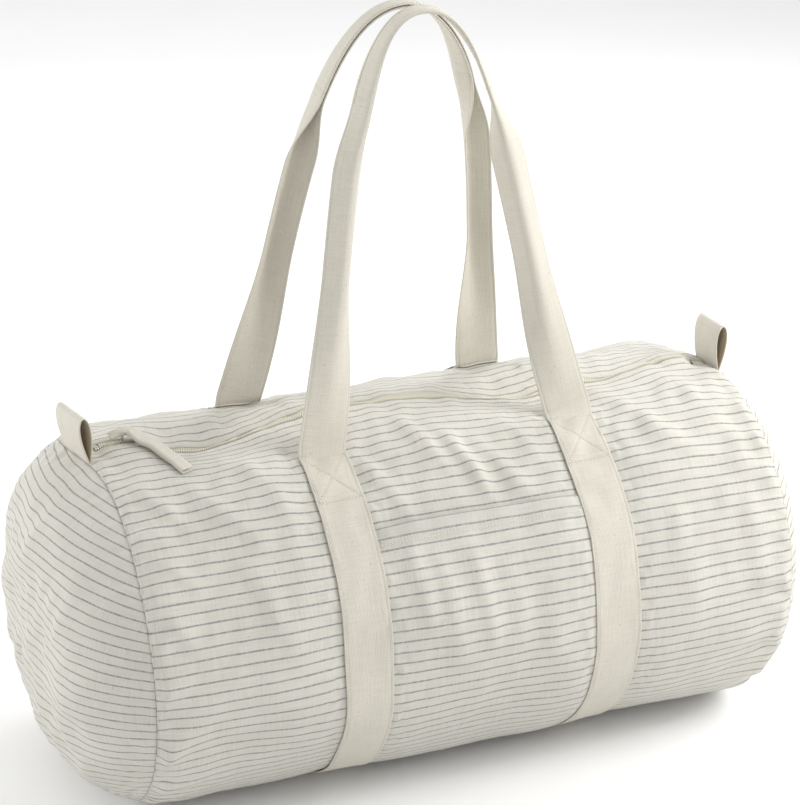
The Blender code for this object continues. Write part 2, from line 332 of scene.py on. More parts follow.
def skin(x, angle, lift):
    """Points of the bag's outer skin, raised by lift, and the outward normals there."""
    x, angle, lift = np.broadcast_arrays(x, angle, lift)
    raised = relief(x, angle) + lift
    signed = past_top(angle)
    slid = 0.80 * zip_sag(x) * bump(signed, 0.0, 0.050) * smooth(0.0, 0.02, SEAM_X - np.abs(x))
    y, z, ny, nz = section(angle + slid / HALF_WIDTH, raised)
    normals = np.stack([np.zeros_like(ny), ny, nz], -1)
    pulled = LEFT_END_PULL * smooth(-0.15, -SEAM_X, x) * bump(signed, -0.030, 0.055)
    return np.stack([x - pulled, y, z], -1), normals


# ---- mesh helpers


def new_object(name, mesh, material):
    obj = bpy.data.objects.new(name, mesh)
    bpy.context.scene.collection.objects.link(obj)
    mesh.materials.append(material)
    mesh.shade_smooth()
    return obj


def set_weave(mesh, weave):
    """Thread coordinates: across and along the stripes, and a tint share: a greyer hem on the pocket,
    and painted warm shade on the end loops' inner faces.
    """
    attribute = mesh.attributes.new("weave", "FLOAT_VECTOR", "POINT")
    flat = np.zeros((len(mesh.vertices), 3), np.float32)
    flat[:, : weave.shape[-1]] = weave.reshape(-1, weave.shape[-1])
    attribute.data.foreach_set("vector", flat.ravel())


def grid_mesh(name, points, weave, ring=False, caps=False):
    """A mesh through rows of points. With ring, each row closes on itself; caps close its ends."""
    rows, columns = points.shape[:2]
    index = np.arange(rows * columns).reshape(rows, columns)
    if ring:
        index = np.concatenate([index, index[:, :1]], 1)
    quads = np.stack([index[:-1, :-1], index[:-1, 1:], index[1:, 1:], index[1:, :-1]], -1)
    faces = quads.reshape(-1, 4).tolist()
    if caps:
        faces.append(index[0, :columns][::-1].tolist())
        faces.append(index[-1, :columns].tolist())
    mesh = bpy.data.meshes.new(name)
    mesh.from_pydata(points.reshape(-1, 3).tolist(), [], faces)
    set_weave(mesh, weave)
    return mesh


def strip(name, points, weave, material):
    """A closed solid strip of cloth: each row of points goes once round its section."""
    mesh = grid_mesh(name, points, weave, ring=True, caps=True)
    obj = new_object(name, mesh, material)
    fix_normals(obj)
    return obj


def fix_normals(obj, hole=()):
    """Turns all faces outwards, after filling the hole inside a ring of numbered vertices."""
    shape = bmesh.new()
    shape.from_mesh(obj.data)
    if hole:
        shape.verts.ensure_lookup_table()
        shape.faces.new([shape.verts[i] for i in hole])
    bmesh.ops.recalc_face_normals(shape, faces=shape.faces)
    shape.to_mesh(obj.data)
    shape.free()
    obj.data.shade_smooth()


def solidify(obj, thickness):
    shell = obj.modifiers.new("canvas", "SOLIDIFY")
    shell.thickness = thickness
    shell.offset = -1.0


def resample(points, step):
    """Points every step along a polyline."""
    travelled = distances_along(points)
    places = np.arange(step / 2, travelled[-1], step)
    return np.stack([np.interp(places, travelled, points[:, i]) for i in range(3)], -1)


def stitches(name, rows, material, length=0.0020, pitch=0.0026, width=0.0008):
    """Sewing thread as one mesh: a small lozenge for each stitch along each row."""
    places, alongs, normals = [], [], []
    for points, row_normals in rows:
        spots = resample(points, pitch)
        nearest = [np.argmin(((points - spot) ** 2).sum(1)) for spot in spots]
        places.append(spots)
        alongs.append(unit(np.gradient(spots, axis=0)))
        normals.append(row_normals[nearest])
    place, along, normal = (np.concatenate(part) for part in (places, alongs, normals))
    across = unit(np.cross(along, normal))
    corners = [place - along * length / 2]
    for share in (-0.28, 0.28):
        middle = place + along * length * share
        for a, b in HEXAGON:
            corners.append(middle + across * a * width / 2 + normal * b * width / 2)
    corners.append(place + along * length / 2)
    points = np.stack(corners, 1)
    faces = []
    for k in range(6):
        n = (k + 1) % 6
        faces.append((0, 1 + n, 1 + k))
        faces.append((1 + k, 1 + n, 7 + n, 7 + k))
        faces.append((7 + k, 7 + n, 13))
    every = [tuple(14 * i + v for v in face) for i in range(len(place)) for face in faces]
    mesh = bpy.data.meshes.new(name)
    mesh.from_pydata(points.reshape(-1, 3).tolist(), [], every)
    set_weave(mesh, points[..., :2])
    return new_object(name, mesh, material)


# ---- materials


class Nodes:
    """Short calls for building a node tree."""

    def __init__(self, name):
        self.material = bpy.data.materials.new(name)
        self.material.use_nodes = True
        self.tree = self.material.node_tree
        self.shader = self.tree.nodes["Principled BSDF"]

    def add(self, kind, settings=(), **inputs):
        node = self.tree.nodes.new(kind)
        for key, value in dict(settings).items():
            setattr(node, key, value)
        for key, value in inputs.items():
            self.put(node.inputs[key.replace("_", " ")], value)
        return node

    def put(self, socket, value):
        if isinstance(value, bpy.types.NodeSocket):
            self.tree.links.new(value, socket)
        else:
            socket.default_value = value

    def math(self, operation, first, second=0.0, third=0.0):
        node = self.add("ShaderNodeMath", {"operation": operation})
        for socket, value in zip(node.inputs, (first, second, third)):
            self.put(socket, value)
        return node.outputs[0]

    def scaled(self, vector, scale):
        node = self.add("ShaderNodeVectorMath", {"operation": "MULTIPLY"})
        self.put(node.inputs[0], vector)
        node.inputs[1].default_value = scale
        return node.outputs[0]

    def noise(self, vector, scale, detail=2.0):
        """Noise from 0 to 1 over vector, with scale cells for each metre along each axis."""
        place = self.scaled(vector, scale)
        return self.add("ShaderNodeTexNoise", Vector=place, Scale=1.0, Detail=detail).outputs["Fac"]

    def ramp(self, value, low, high, start=0.0, end=1.0):
        node = self.add("ShaderNodeMapRange", {"interpolation_type": "SMOOTHSTEP"})
        for socket, number in zip(node.inputs, (value, low, high, start, end)):
            self.put(socket, number)
        return node.outputs[0]

    def mix(self, factor, first, second):
        node = self.add("ShaderNodeMix", {"data_type": "RGBA"})
        self.put(node.inputs["Factor"], factor)
        first_colour, second_colour = node.inputs[6], node.inputs[7]
        self.put(first_colour, first)
        self.put(second_colour, second)
        return node.outputs[2]

    def threads(self):
        """The mesh's thread coordinates, as a vector and in parts: across, along, and a tint share (a
        greyer hem on the striped canvas, painted warm shade inside the end loops on the webbing).
        """
        weave = self.add("ShaderNodeAttribute", {"attribute_name": "weave"}).outputs["Vector"]
        parts = self.add("ShaderNodeSeparateXYZ", Vector=weave)
        return weave, *parts.outputs

    def weave(self, u, v, period):
        """Height of a plain weave: threads that pass over and under each other."""
        turns = 2 * math.pi / period
        warp = self.math("SINE", self.math("MULTIPLY", u, turns))
        weft = self.math("SINE", self.math("MULTIPLY", v, turns))
        return self.math("MULTIPLY", warp, weft)

    def finish(self, colour, height, strength, distance, roughness, **sheen):
        self.put(self.shader.inputs["Base Color"], colour)
        self.put(self.shader.inputs["Roughness"], roughness)
        node = self.add("ShaderNodeBump", Height=height, Strength=strength, Distance=distance)
        self.put(self.shader.inputs["Normal"], node.outputs["Normal"])
        for key, value in sheen.items():
            self.shader.inputs[key.replace("_", " ")].default_value = value
        return self.material


def flecks(nodes, vector, size, rarity):
    """Small dark seed husks left in the unbleached yarn."""
    spots = nodes.noise(vector, (1 / size, 0.6 / size, 1.0), 0.0)
    return nodes.ramp(spots, rarity, rarity + 0.03)


def striped_canvas():
    """Unbleached plain-weave cotton with a thin slubby grey-blue stripe."""
    nodes = Nodes("striped_canvas")
    weave, u, v, tint_and_painted_shade = nodes.threads()
    wander = nodes.noise(weave, (30.0, 8.0, 1.0), 1.0)
    bent = nodes.math("MULTIPLY_ADD", wander, 0.0006, v)
    gap = nodes.math("PINGPONG", bent, STRIPE_PITCH / 2)
    slub = nodes.noise(weave, (170.0, 130.0, 1.0))
    half = nodes.math("MULTIPLY_ADD", slub, 0.00066, 0.00032)
    inside = nodes.math("SUBTRACT", half, gap)
    line = nodes.ramp(inside, -0.00030, 0.00026)
    depth = nodes.ramp(nodes.noise(weave, (420.0, 300.0, 1.0)), 0.30, 0.70, 0.58, 0.92)
    line = nodes.math("MULTIPLY", line, depth)
    cloudy = nodes.noise(weave, (16.0, 20.0, 1.0), 3.0)
    ground = nodes.mix(cloudy, (0.555, 0.536, 0.478, 1), (0.640, 0.620, 0.562, 1))
    warp = nodes.noise(weave, (900.0, 35.0, 1.0))
    weft = nodes.noise(weave, (35.0, 900.0, 1.0))
    yarn = nodes.math("ADD", warp, weft)
    ground = nodes.mix(nodes.ramp(yarn, 0.75, 1.25, 0.0, 0.50), ground, (0.495, 0.476, 0.42, 1))
    cloth = nodes.mix(line, ground, (0.215, 0.212, 0.212, 1))
    cloth = nodes.mix(flecks(nodes, weave, 0.0010, 0.835), cloth, (0.24, 0.20, 0.15, 1))
    tint = nodes.math("MULTIPLY", tint_and_painted_shade, 0.20)
    cloth = nodes.mix(tint, cloth, (0.40, 0.41, 0.385, 1))
    height = nodes.math("MULTIPLY_ADD", nodes.weave(u, v, 0.0009), 0.5, yarn)
    return nodes.finish(cloth, height, 0.55, 0.00035, 0.92, Sheen_Weight=0.12, Sheen_Roughness=0.5)


def strap_canvas():
    """Thicker cream cotton webbing with fine lengthwise ribs and brown husks, and painted warm shade
    inside the end loops.
    """
    nodes = Nodes("strap_canvas")
    weave, u, v, tint_and_painted_shade = nodes.threads()
    cloudy = nodes.noise(weave, (22.0, 9.0, 1.0), 3.0)
    ground = nodes.mix(cloudy, (0.575, 0.545, 0.465, 1), (0.640, 0.615, 0.540, 1))
    ribs = nodes.noise(weave, (1100.0, 30.0, 1.0))
    picks = nodes.noise(weave, (60.0, 800.0, 1.0))
    yarn = nodes.math("ADD", ribs, picks)
    ground = nodes.mix(nodes.ramp(yarn, 0.75, 1.25, 0.0, 0.40), ground, (0.50, 0.468, 0.393, 1))
    cloth = nodes.mix(flecks(nodes, weave, 0.0011, 0.825), ground, (0.24, 0.19, 0.12, 1))
    # Painted shade: where the tint share is 1, on the end loops' inner faces, the webbing is darkened
    # to a warm brown that stands in for the shade and warm light through the cloth inside the loop.
    cloth = nodes.mix(nodes.math("MULTIPLY", tint_and_painted_shade, 0.55), cloth, (0.36, 0.27, 0.14, 1))
    twill = nodes.weave(nodes.math("ADD", u, v), v, 0.0011)
    height = nodes.math("MULTIPLY_ADD", twill, 0.6, yarn)
    return nodes.finish(cloth, height, 0.5, 0.0004, 0.90, Sheen_Weight=0.12, Sheen_Roughness=0.5)


def plain(name, dark, light, cells, roughness, **extra):
    """A finish that needs no thread coordinates: two tones and a fine grain."""
    nodes = Nodes(name)
    place = nodes.add("ShaderNodeTexCoord").outputs["Object"]
    grain = nodes.noise(place, (cells, cells, cells), 3.0)
    tone = nodes.mix(grain, (*dark, 1), (*light, 1))
    rough = nodes.ramp(nodes.noise(place, (cells / 4, cells / 4, cells / 4)), 0.3, 0.7, *roughness)
    return nodes.finish(tone, grain, 0.35, 0.0002, rough, **extra)


CANVAS_CLOTH = striped_canvas()
STRAP_CLOTH = strap_canvas()
THREAD = plain("thread", (0.60, 0.57, 0.48), (0.70, 0.67, 0.58), 900.0, (0.75, 0.9))
TAPE = plain("zip_tape", (0.60, 0.57, 0.47), (0.74, 0.71, 0.62), 1400.0, (0.85, 0.95))
COIL = plain("zip_coil", (0.72, 0.69, 0.57), (0.82, 0.79, 0.68), 500.0, (0.30, 0.45))
METAL = plain("zip_metal", (0.52, 0.50, 0.45), (0.70, 0.68, 0.63), 260.0, (0.25, 0.45), Metallic=1.0)
BINDING = plain("binding_tape", (0.64, 0.60, 0.49), (0.78, 0.75, 0.65), 1100.0, (0.85, 0.95))
FLOOR = plain("pale_floor", (0.90, 0.90, 0.90), (0.93, 0.93, 0.93), 6.0, (0.8, 0.9))


# ---- the body


def strap_centre(side, angle):
    """Where a strap's middle line runs; behind the bag its upper part stands further left."""
    risen = smooth(math.radians(235), math.radians(330), angle)
    return side * STRAP_X + STRAP_SHIFT + BACK_ROOT_SHIFT * risen


# Angles of the body's rows of points, from one edge of the zip's slot to the other
SLOT_EDGE = arc(SLOT_HALF_WIDTH / HALF_WIDTH)
ROW_ANGLES = angle_at(np.linspace(SLOT_EDGE, GIRTH - SLOT_EDGE, 400))


def barrel():
    """The tube of striped canvas, with its edges rolled under along the zip."""
    angles = ROW_ANGLES.copy()
    edge = angles[0]
    lifts = np.zeros_like(angles)
    roll = np.array([-0.0016, -0.0006, -0.0001])
    rolled = np.array([0.0, 0.0004, 0.0011]) / HALF_WIDTH
    angles[:3] = edge + rolled
    angles[-3:] = 2 * math.pi - edge - rolled[::-1]
    lifts[:3] = roll
    lifts[-3:] = roll[::-1]
    x = np.linspace(-SEAM_X, SEAM_X, 209)
    grid_x, grid_angle = np.meshgrid(x, angles)
    points, _ = skin(grid_x, grid_angle, lifts[:, None])
    weave = np.stack([grid_x, arc(grid_angle) + STRIPE_START], -1)
    mesh = grid_mesh("barrel_skin", points, weave)
    mesh.flip_normals()
    obj = new_object("barrel_skin", mesh, CANVAS_CLOTH)
    solidify(obj, CANVAS)
    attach(obj, "root")
    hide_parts("barrel_panel")


def dome(side, depth, reach, y, z):
    """How far the stuffing pushes an end panel out. Reach is 1 at the seam and 0 in the middle."""
    free = smooth(0.0, 0.06, 1 - reach)
    calm = 1 - 0.8 * smooth(0.70, 0.95, reach)
    near_seam = smooth(0.0, 0.02, 1 - reach) * (1 - smooth(0.02, 0.14, 1 - reach))
    heave = depth * (1 - reach**DOME_FULLNESS)
    heave = heave + 0.0013 * SWELLS.at(1.3 * y + side, 1.3 * z) * free * calm
    heave = heave + 0.0007 * CREASES.at(y, z + side) * free * calm
    return heave + 0.0009 * PUCKERS.at(0.1 * reach, 0.8 * HALF_WIDTH * ROW_ANGLES) * near_seam


def end_panel(name, side, depth):
    """A disc bulged by the stuffing. Its stripes lie as they would on the flat disc."""
    rings = [[1.0], np.linspace(0.992, 0.80, 14), np.linspace(0.78, 0.03, 20)]
    reach = np.concatenate(rings)[:, None]
    outline, _ = skin(side * SEAM_X, ROW_ANGLES, -0.0004)
    middle = np.array([0.0, 0.0, CENTRE_Z])
    points = middle + (outline - middle)[None] * reach[..., None]
    heave = dome(side, depth, reach, points[..., 1], points[..., 2])
    pulled = (outline[:, 0] - side * SEAM_X) * reach**3
    points[..., 0] = side * (SEAM_X + 0.0002 + heave) + pulled
    mesh = grid_mesh(name, points, flat_disc(points, middle), ring=True)
    if side > 0:
        mesh.flip_normals()
    obj = new_object(name, mesh, CANVAS_CLOTH)
    around = len(ROW_ANGLES)
    fix_normals(obj, hole=range((len(reach) - 1) * around, len(reach) * around))
    solidify(obj, CANVAS)
    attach(obj, "root")
    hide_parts(name.replace("_skin", "_panel"))


def flat_disc(points, middle):
    """Where each point of a bulged disc lay on the flat cloth, from its distance to the middle."""
    steps = np.linalg.norm(np.diff(points, axis=0), axis=2)
    outer = np.concatenate([np.cumsum(steps[::-1], axis=0)[::-1], np.zeros_like(steps[:1])])
    spokes = (points - middle)[..., 1:]
    radius = np.linalg.norm(spokes, axis=2)
    travelled = outer + radius[-1:]
    return spokes * (END_GATHER * travelled / radius)[..., None] + np.array([0.0, CENTRE_Z])


# ---- straps


def strap_profile(step=0.0035):
    """Closed outline (across, thickness) of the webbing, with a groove under each stitch row."""
    half = STRAP_WIDTH / 2
    groove = half - STITCH_INSET
    inner = np.arange(0.0, groove - 0.0020, step)
    dip = groove + np.array([-0.0011, -0.0005, 0.0, 0.0005, 0.0011])
    columns = np.concatenate([inner, dip, [half - 0.0004, half]])
    heights = np.concatenate([np.ones(len(inner)), [1.0, 0.70, 0.45, 0.70, 0.95], [0.75, 0.25]])
    columns = np.concatenate([-columns[:0:-1], columns])
    heights = np.concatenate([heights[:0:-1], heights])
    across = np.concatenate([columns, columns[::-1]])
    faces = np.concatenate([heights, -heights[::-1]])
    return np.stack([across, faces * STRAP_THICKNESS / 2], -1)


PROFILE = strap_profile()
FINE_PROFILE = strap_profile(0.0008)


def box_dent(across, distance):
    """Depth of the grooves that the crossed box of stitches presses into the strap."""
    edge = STRAP_WIDTH / 2 - STITCH_INSET
    top, end = arc(BOX_TOP_ANGLE) + 0.001, arc(BOX_END_ANGLE)
    down = np.minimum(distance, GIRTH - distance)
    within = (down > top - 0.001) & (down < end + 0.001) & (np.abs(across) < edge)
    share = (down - top) / (end - top)
    slope = edge * 2 / (end - top)
    away = np.minimum(np.abs(down - top), np.abs(down - end))
    for way in (-1, 1):
        crossing = np.abs(across - way * edge * (2 * share - 1)) / math.hypot(1, slope)
        away = np.minimum(away, crossing)
    return BOX_GROOVE * within * np.exp(-((away / 0.0008) ** 2))


def band_rows():
    """Distances round the body for a band's rows: close together where the boxes are sewn."""
    top, end = arc(BOX_TOP_ANGLE), arc(BOX_END_ANGLE) + 0.002
    box = np.arange(top, end, 0.0008)
    middle = np.arange(end, GIRTH - end, 0.0035)
    return np.concatenate([box, middle, GIRTH - box[::-1]])


def band(name, side):
    """One strap's run round the body, from the front handle's root to the back one's."""
    across, distance = np.broadcast_arrays(FINE_PROFILE[:, 0], band_rows()[:, None])
    angles = angle_at(distance)
    outer = FINE_PROFILE[:, 1] > 0
    lift = STRAP_LIFT + FINE_PROFILE[:, 1] - outer * box_dent(across, distance)
    points, _ = skin(strap_centre(side, angles) + across, angles, lift)
    obj = strip(name, points, np.stack([across, distance], -1), STRAP_CLOTH)
    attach(obj, "root")
    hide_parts(name.replace("_strap", "_band"))


def skin_row(x, distance, lift):
    """A row on the skin for stitches: its points and normals."""
    return skin(x, angle_at(distance), lift)


def strap_stitching():
    """The edge rows of both straps and the crossed box below each handle."""
    rows = []
    top = STRAP_LIFT + 0.36 * STRAP_THICKNESS
    inset = STRAP_WIDTH / 2 - STITCH_INSET
    box_top, box_end = arc(BOX_TOP_ANGLE) + 0.001, arc(BOX_END_ANGLE)
    run = np.linspace(box_top, GIRTH - box_top, 700)
    for side in (-1, 1):
        line = strap_centre(side, angle_at(run))
        for edge in (-inset, inset):
            rows.append(skin_row(line + edge, run, top))
        for near, far in ((box_top, box_end), (GIRTH - box_top, GIRTH - box_end)):
            across = np.linspace(-inset, inset, 30)
            down = np.linspace(near, far, 30)
            centre = strap_centre(side, angle_at(near))
            for way, distance in ((1, near), (1, far), (1, down), (-1, down)):
                rows.append(skin_row(centre + way * across, distance, top))
    obj = stitches("strap_stitching", rows, THREAD)
    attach(obj, "root")


# ---- handles

# Which way the closed grip's free edges point at its ends: degrees from the arch's inside
GRIP_LEAN = {("front", -1): 119.0, ("front", 1): 112.0, ("back", -1): -81.0, ("back", 1): -120.0}


def handle_leg(side, leg):
    """One leg's middle line, from its root on the body to the top of the arch."""
    y, z, _, _ = section(HINGE_ANGLE, HINGE_LIFT)
    root_y, root_z = -side * float(y), float(z)
    rise = HANDLE_TOP - root_z
    top_y = side * GRIP_Y
    shares = np.linspace(0, 1, 90)[:, None]
    rest = 1 - shares
    route = [
        (STRAP_X, root_y, root_z),
        (
            LEG_KNEE_X * STRAP_X,
            root_y + LEG_KNEE_RISE * (top_y - root_y),
            root_z + LEG_KNEE_RISE * rise,
        ),
        (SHOULDER_X * STRAP_X, top_y, HANDLE_TOP),
        (0.0, top_y, HANDLE_TOP),
    ]
    a, b, c, d = (np.array(point) for point in route)
    line = a * rest**3 + b * (3 * rest**2 * shares) + c * (3 * rest * shares**2) + d * shares**3
    rising = (line[:, 2] - root_z) / rise
    top_shift, spread = (BACK_TOP_SHIFT, BACK_SPREAD) if side > 0 else (FRONT_TOP_SHIFT, 0.0)
    root_shift = BACK_ROOT_SHIFT if side > 0 else 0.0
    line[:, 0] += spread * np.sin(math.pi * shares[:, 0])
    line[:, 0] = leg * line[:, 0] + STRAP_SHIFT + root_shift + (top_shift - root_shift) * rising
    return line


def handle_path(side):
    """Points along a handle, from its left root on the body over the top to its right root."""
    turned = BOX_TOP_ANGLE + np.array([0.040, 0.024, 0.008])
    if side > 0:
        turned = 2 * math.pi - turned
    halves = []
    for leg in (-1, 1):
        lifts = STRAP_LIFT + np.array([-0.0021, -0.0015, -0.0004])
        tail, _ = skin(strap_centre(leg, turned), turned, lifts)
        halves.append(np.concatenate([tail, handle_leg(side, leg)]))
    path = np.concatenate([halves[0], halves[1][-2::-1]])
    dense = resample(path, 0.0007)
    window = np.ones(9) / 9
    padded = np.pad(dense, ((4, 4), (0, 0)), "edge")
    rounded = np.stack([np.convolve(padded[:, i], window, "valid") for i in range(3)], -1)
    return rounded[::4]


def handle_frame(path):
    """At each point: the way to the arch's inside and the way backward."""
    along = unit(np.gradient(path, axis=0))
    back = unit(np.array([0.0, 1.0, 0.0]) - along[:, 1:2] * along)
    return np.cross(back, along), back


def handle_fold(name, path):
    """How far the strap is folded at each point, from 0 to 1, its lean, and the fold's sign."""
    root_z = path[:, 2].min()
    rising = (path[:, 2] - root_z) / (GRIP_END_Z - root_z)
    closed = HALF_FOLDED * smooth(-0.02, 0.55, rising)
    closed = closed + (1 - HALF_FOLDED) * smooth(0.80, 1.0, rising)
    over = smooth(GRIP_END_Z, HANDLE_TOP, path[:, 2])
    sign = 1 if name == "front" else -1
    leg = np.where(path[:, 0] < STRAP_SHIFT, GRIP_LEAN[(name, -1)], GRIP_LEAN[(name, 1)])
    lean = leg + (90.0 * sign - leg) * over
    return closed, np.radians(lean), sign


def folded_line(closed, lean, sign, columns):
    """Across the strap at one point: (inner, back) offsets and the heading at each column."""
    fine = np.linspace(-STRAP_WIDTH / 2, STRAP_WIDTH / 2, 381)
    half_fold = FLAT_FOLD + (math.pi / 2 * FOLD_RADIUS - FLAT_FOLD) * closed
    start = closed * (lean - sign * math.pi)
    end = closed * lean
    heading = start + (end - start) * np.clip((fine + half_fold) / (2 * half_fold), 0, 1)
    step = fine[1] - fine[0]
    inner = np.cumsum(np.cos(heading)) * step
    back = np.cumsum(np.sin(heading)) * step
    inner -= inner.mean()
    back -= back.mean()
    return [np.interp(columns, fine, values) for values in (inner, back, heading)]


def handle(name, side):
    """One carrying strap: flat at its roots, folded lengthwise into a grip over the top."""
    path = handle_path(side)
    inner, back = handle_frame(path)
    closed, lean, sign = handle_fold(name, path)
    travelled = distances_along(path)
    rows, weaves = [], []
    for i, centre in enumerate(path):
        a, b, heading = folded_line(closed[i], lean[i], sign, PROFILE[:, 0])
        a = a - np.sin(heading) * PROFILE[:, 1]
        b = b + np.cos(heading) * PROFILE[:, 1]
        rows.append(centre + a[:, None] * inner[i] + b[:, None] * back[i])
        weaves.append(np.stack([PROFILE[:, 0], np.full(len(PROFILE), travelled[i])], -1))
    strap = name + "_handle_strap"
    obj = strip(strap, np.stack(rows), np.stack(weaves), STRAP_CLOTH)
    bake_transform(obj)
    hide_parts(name + "_handle")


def folded_row(centre, fold, axes, columns, share):
    """Points over a folded strap's outer face, raised by a share of its thickness, and normals."""
    inner, back = axes
    a, b, heading = folded_line(*fold, columns)
    out = -fold[2] * (-np.sin(heading)[:, None] * inner + np.cos(heading)[:, None] * back)
    points = centre + a[:, None] * inner + b[:, None] * back
    return points + out * STRAP_THICKNESS * share, out


def handle_stitching(name, side):
    """A row along the grip's free edges and a bar across each of its ends."""
    path = handle_path(side)
    inner, back = handle_frame(path)
    closed, lean, sign = handle_fold(name, path)
    grip = np.nonzero(path[:, 2] > GRIP_END_Z - 0.002)[0]
    edge = STRAP_WIDTH / 2 - STITCH_INSET

    def row_at(i, columns, share):
        return folded_row(path[i], (closed[i], lean[i], sign), (inner[i], back[i]), columns, share)

    rows = []
    for column in (-edge, edge):
        spots = [row_at(i, np.array([column]), 0.48) for i in grip]
        rows.append([np.concatenate(part) for part in zip(*spots)])
    for i in (grip[0] + 2, grip[-1] - 2):
        for wing in (-1, 1):
            columns = wing * np.linspace(0.0022, STRAP_WIDTH / 2 - 0.0008, 12)
            rows.append(row_at(i, columns, 0.52))
    obj = stitches(name + "_handle_stitching", rows, THREAD)
    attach(obj, name + "_handle")


# ---- pocket


POCKET_REACH = STRAP_X - STRAP_WIDTH / 2 + 0.0030


def pocket_gape(inward, down):
    """How far the mouth gapes, for a share in from the sides and a distance below the mouth."""
    return POCKET_GAPE * smooth(0.0, 0.45, inward) * np.exp(-down / POCKET_GAPE_FADE)


def hem_share(down):
    """1 on the folded hem and 0 below it."""
    return smooth(POCKET_HEM + 0.0012, POCKET_HEM - 0.0004, down)


def pocket_lift(inward, down):
    """How far the pocket stands off the skin."""
    margin = smooth(0.0, 0.10, inward)
    lift = 0.0005 + 0.0010 * margin
    lift = lift + pocket_gape(inward, down)
    lift = lift + HEM_THICKNESS * hem_share(down) * margin
    for row in POCKET_ROWS:
        lift = lift - 0.0003 * bump(down, row, 0.0007) * margin
    first_row = down < 0.0002
    second_row = (down > 0.0002) & (down < 0.0006)
    return lift - np.where(first_row, 0.0009, 0.0) - np.where(second_row, 0.0002, 0.0)


def pocket():
    """The patch pocket between the straps, hemmed along its mouth."""
    start = arc(POCKET_MOUTH)
    mouth = start + np.array([0.0, 0.0003, 0.0010])
    distance = np.concatenate([mouth, np.arange(start + 0.003, arc(POCKET_END), 0.003)])
    x = np.linspace(-POCKET_REACH, POCKET_REACH, 77) + STRAP_SHIFT
    grid_x, grid_s = np.meshgrid(x, distance)
    inward = 1 - np.abs(grid_x - STRAP_SHIFT) / POCKET_REACH
    down = grid_s - start
    points, _ = skin(grid_x, angle_at(grid_s), pocket_lift(inward, down))
    weave = np.stack([grid_x, down - 0.0007, hem_share(down)], -1)
    mesh = grid_mesh("pocket_patch", points, weave)
    mesh.flip_normals()
    obj = new_object("pocket_patch", mesh, CANVAS_CLOTH)
    solidify(obj, POCKET_CANVAS)
    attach(obj, "root")
    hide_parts("front_pocket")


def pocket_stitching():
    """Two rows of stitches that hold the pocket's hem."""
    run = np.linspace(-POCKET_REACH + 0.004, POCKET_REACH - 0.004, 120)
    inward = 1 - np.abs(run) / POCKET_REACH
    rows = []
    for row in POCKET_ROWS:
        raised = 0.0015 + HEM_THICKNESS + pocket_gape(inward, row)
        rows.append(skin_row(run + STRAP_SHIFT, arc(POCKET_MOUTH) + row, raised))
    obj = stitches("pocket_stitching", rows, THREAD)
    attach(obj, "root")


# ---- zip

COIL_PITCH = 0.00150
COIL_REACH = 0.0027
COIL_WIRE = 0.00052
COIL_LIFTS = np.array([-0.0017, -0.0006, -0.0003, -0.0006, -0.0016])
COIL_LENGTH = 0.486
CRIMP_Y = np.array([-0.0031, -0.0026, 0.0, 0.0026, 0.0031])
CRIMP_LIFTS = np.array([-0.0020, -0.0008, -0.0006, -0.0008, -0.0020])
CRIMP_RADIUS = 0.0009
TAPE_WIDTH = 0.0122
TAPE_REACH = 0.2585
SEWN_REACH = 0.244


def zip_line(x, y, lift):
    """Points over the zip, at a signed distance y behind its middle line."""
    y = np.asarray(y)
    forward = np.where(y <= 0, -y, 2 * math.pi * HALF_WIDTH - y)
    return skin(x, forward / HALF_WIDTH, lift)


def zip_tape(name, side):
    """The woven tape under one edge of the mouth."""
    x = np.linspace(-TAPE_REACH, TAPE_REACH, 156)
    y = side * np.array([0.0003, 0.0030, 0.0060, 0.0125])
    lift = np.array([-0.0025, -0.0024, -0.0022, -0.0022])
    grid_y, grid_x = np.meshgrid(y, x)
    points, _ = zip_line(grid_x, grid_y, lift)
    mesh = grid_mesh(name, points, np.stack([grid_x, grid_y], -1))
    if side > 0:
        mesh.flip_normals()
    obj = new_object(name, mesh, TAPE)
    solidify(obj, TAPE_THICKNESS)
    fix_normals(obj)
    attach(obj, "root")
    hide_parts(name.replace("_tape_cloth", "_zip_tape"))


def zip_coil(name, side):
    """Every turn of one coil, as small rounded teeth that reach past the middle."""
    count = int(COIL_LENGTH / COIL_PITCH)
    y = side * np.linspace(-0.0004, COIL_REACH, 5)
    rows = []
    for place in (np.arange(count) - count / 2 + side * 0.25) * COIL_PITCH:
        rows.append(zip_line(place, y, COIL_LIFTS))
    mesh = tooth_mesh(name, rows, COIL_WIRE)
    obj = new_object(name, mesh, COIL)
    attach(obj, "root")
    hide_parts(name.replace("_coil_teeth", "_zip_coil"))


def tooth_mesh(name, rows, radius):
    """A short round bar along each row of points."""
    along_x = np.array([1.0, 0.0, 0.0])
    points, faces = [], []
    for bar, normals in rows:
        base = len(points)
        for place, normal in zip(bar, normals):
            for a, b in HEXAGON:
                points.append(place + along_x * a * radius + normal * b * radius)
        for j in range(len(bar) - 1):
            for k in range(6):
                n = (k + 1) % 6
                low, high = base + 6 * j, base + 6 * (j + 1)
                faces.append((low + k, low + n, high + n, high + k))
        faces.append(tuple(base + k for k in range(5, -1, -1)))
        faces.append(tuple(base + 6 * (len(bar) - 1) + k for k in range(6)))
    mesh = bpy.data.meshes.new(name)
    mesh.from_pydata([tuple(p) for p in points], [], faces)
    return mesh


